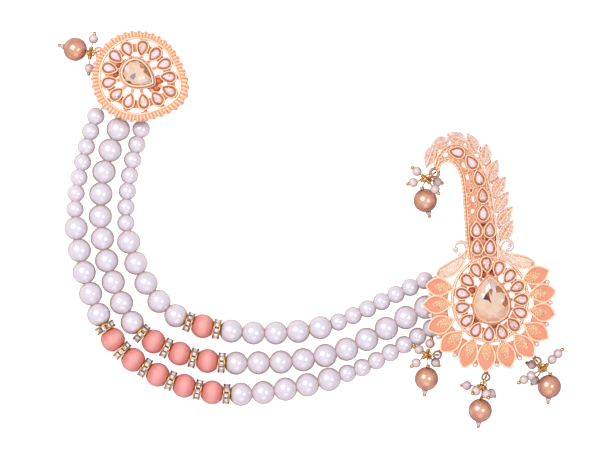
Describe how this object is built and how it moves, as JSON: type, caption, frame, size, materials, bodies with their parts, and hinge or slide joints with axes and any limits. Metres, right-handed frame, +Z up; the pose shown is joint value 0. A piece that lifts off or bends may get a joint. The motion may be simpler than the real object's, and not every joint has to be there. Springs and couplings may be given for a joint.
{
  "type": "turban ornament",
  "caption": "Folk turban ornament: feather brooch and round brooch joined by strings of pearls, with bead drops.",
  "frame": {"origin": "on the surface that the ornament lies on, below the middle of its box", "axes": "+Z up out of the face of the brooches, +X from the round brooch to the feather brooch, +Y towards the top of the feather"},
  "size_m": [0.1692, 0.1328, 0.0134],
  "materials": {
    "rose_gold": "cast alloy, rose gold wash, satin",
    "crystal": "faceted foiled glass, champagne",
    "opal": "small milky opalescent glass stones",
    "fitting": "plated steel pin fitting, satin",
    "pearl": "imitation pearl coating, lilac white",
    "rose_bead": "frosted translucent resin, salmon rose",
    "gold": "bright yellow gold plating",
    "cluster": "pearl and glass seed beads on gold head pins",
    "copper": "glossy metallic copper rose lacquer"
  },
  "bodies": {
    "root": {"feather_plate": "rose_gold", "feather_main_stone": "crystal", "flower_small_stones": "opal", "stem_small_stones": "opal", "feather_pin_fitting": "fitting", "round_plate": "rose_gold", "round_main_stone": "crystal", "round_small_stones": "opal", "round_pin_fitting": "fitting", "outer_pearl_string": "pearl", "middle_pearl_string": "pearl", "inner_pearl_string": "pearl", "outer_rose_bead_1": "rose_bead", "outer_rose_bead_2": "rose_bead", "outer_rose_bead_3": "rose_bead", "outer_rose_bead_4": "rose_bead", "outer_rose_bead_5": "rose_bead", "middle_rose_bead_1": "rose_bead", "middle_rose_bead_2": "rose_bead", "middle_rose_bead_3": "rose_bead", "inner_rose_bead_1": "rose_bead", "outer_spacer_1": "gold", "outer_spacer_2": "gold", "outer_spacer_3": "gold", "outer_spacer_4": "gold", "outer_spacer_5": "gold", "outer_spacer_6": "gold", "middle_spacer_1": "gold", "middle_spacer_2": "gold", "middle_spacer_3": "gold", "middle_spacer_4": "gold", "inner_spacer_1": "gold", "inner_spacer_2": "gold", "left_drop_ring": "gold", "left_drop_cluster": "cluster", "left_drop_ball": "copper", "bottom_drop_ring": "gold", "bottom_drop_cluster": "cluster", "bottom_drop_ball": "copper", "right_drop_ring": "gold", "right_drop_cluster": "cluster", "right_drop_ball": "copper", "hook_drop_ring": "gold", "hook_drop_cluster": "cluster", "hook_drop_ball": "copper", "side_drop_ring": "gold", "side_drop_cluster": "cluster", "side_drop_ball": "copper"}
  },
  "joints": []
}
